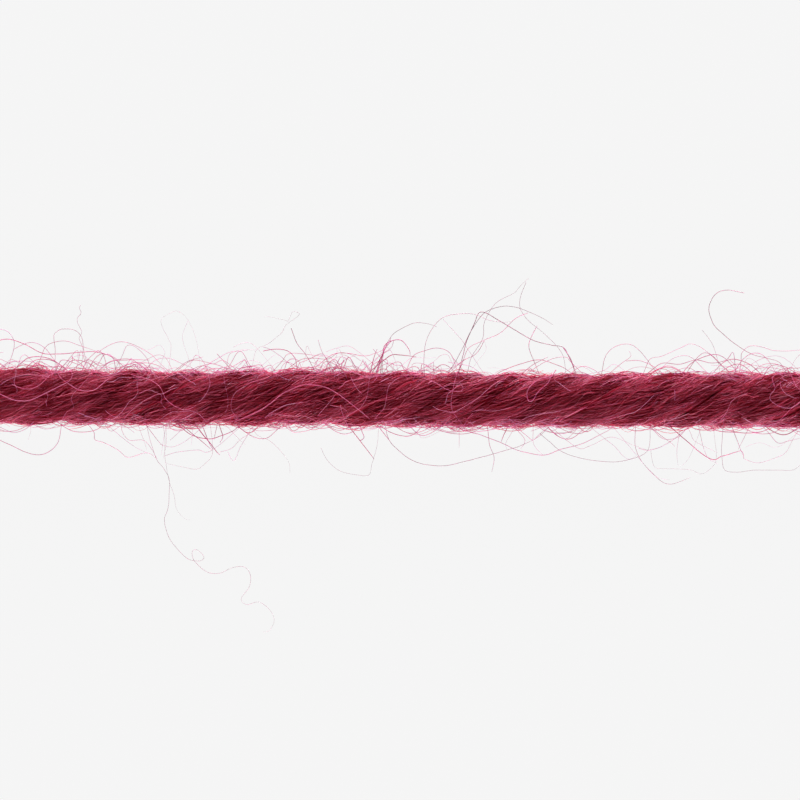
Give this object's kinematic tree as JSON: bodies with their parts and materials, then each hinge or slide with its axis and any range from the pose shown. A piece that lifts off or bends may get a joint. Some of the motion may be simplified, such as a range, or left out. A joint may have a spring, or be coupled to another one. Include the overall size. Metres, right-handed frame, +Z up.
{
  "type": "knitting yarn",
  "caption": "Short cut length of fuzzy plied knitting yarn, lying straight, its plies wound in an S twist, with long stray hairs and short loose fibres standing off it all round.",
  "frame": {"origin": "on the surface that the yarn lies on, under the middle of the whole yarn's box, stray hairs included, so that the strand's own middle is at +Y 2.75 mm", "axes": "+X along the strand, +Z up from the surface, +Y across it"},
  "size_m": [0.044, 0.017, 0.0026],
  "materials": {
    "dyed_yarn": "matt spun fibre, dyed deep crimson, with paler pink surface fibres"
  },
  "bodies": {
    "root": {"strand": "dyed_yarn", "hair_hanging": "dyed_yarn", "hair_beside_hanging": "dyed_yarn", "hair_low_loop": "dyed_yarn", "hair_drooping": "dyed_yarn", "hair_low_hook": "dyed_yarn", "hair_long_bow": "dyed_yarn", "hair_second_bow": "dyed_yarn", "hair_deep_bow": "dyed_yarn", "hair_right_bow": "dyed_yarn", "hair_edge": "dyed_yarn", "hair_left_loop": "dyed_yarn", "hair_squiggle": "dyed_yarn", "hair_tall_arch": "dyed_yarn", "hair_curled_tip": "dyed_yarn", "hair_leaning": "dyed_yarn", "hair_left_arc": "dyed_yarn", "hair_wide_arc": "dyed_yarn", "hair_bent_arc": "dyed_yarn", "hair_steep_arch": "dyed_yarn", "hair_tall": "dyed_yarn", "hair_falling": "dyed_yarn", "hair_slim": "dyed_yarn", "hair_hooked": "dyed_yarn"}
  },
  "joints": []
}
